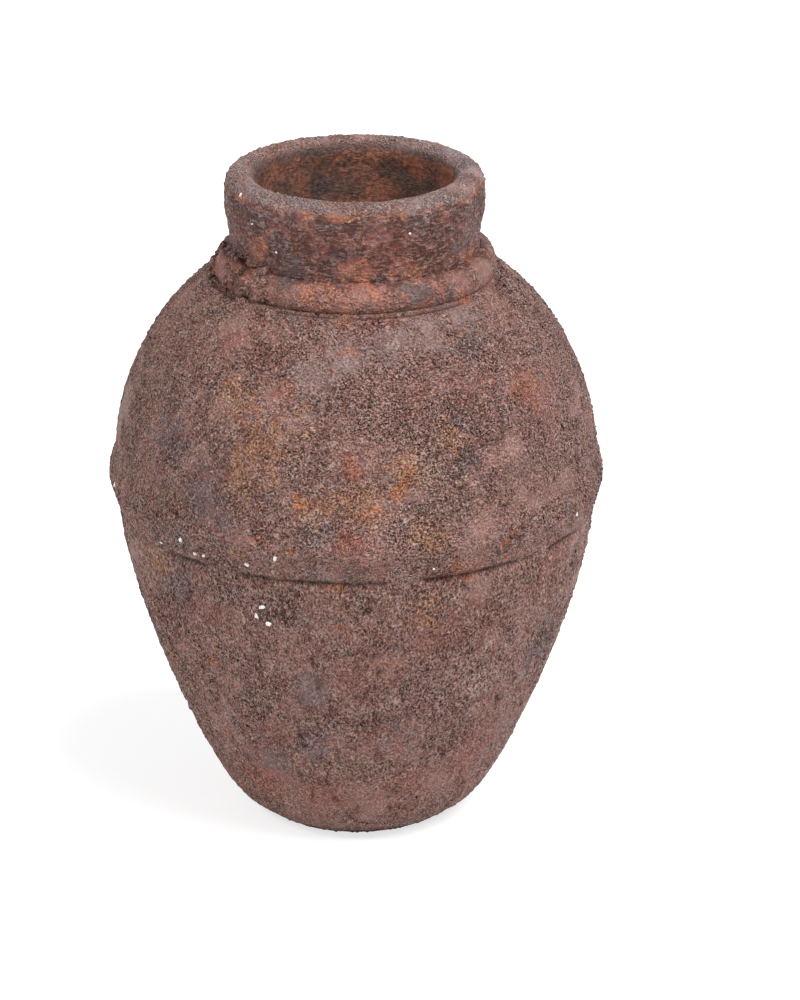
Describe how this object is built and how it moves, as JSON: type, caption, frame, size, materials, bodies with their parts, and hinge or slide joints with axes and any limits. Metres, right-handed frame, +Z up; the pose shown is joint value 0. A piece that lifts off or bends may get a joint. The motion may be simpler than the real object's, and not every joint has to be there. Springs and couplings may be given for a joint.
{
  "type": "storage jar",
  "caption": "Wide-bellied earthenware storage jar with a short collared neck and a thick rolled rim, for display, dry stems or dry goods.",
  "frame": {"origin": "middle of the flat underside, on the jar's axis", "axes": "+Z up along the jar's axis, through the middle of the mouth. The jar is round, and -Y faces the viewer of the picture, with +X to the right"},
  "size_m": [0.2946, 0.2946, 0.4],
  "materials": {
    "crusted_clay": "coarse crusted slip, dark red-brown with rust and ochre flecks, matt",
    "belt_clay": "coarse crusted slip, slightly redder, with white chips along its lower edge, matt",
    "brushed_clay": "slip brushed round the neck, dark brown with rust patches, low sheen",
    "lip_clay": "pebbled slip rubbed paler on the lip, matt",
    "inner_clay": "bare inside wall, dark brown with ochre runs, matt"
  },
  "bodies": {
    "root": {"base_disc": "crusted_clay", "lower_wall": "crusted_clay", "belly_band": "belt_clay", "shoulder_wall": "crusted_clay", "collar_ring": "brushed_clay", "neck_wall": "brushed_clay", "rim_coil": "lip_clay", "floor_seam_coil": "inner_clay", "belly_seam_coil": "inner_clay"}
  },
  "joints": []
}
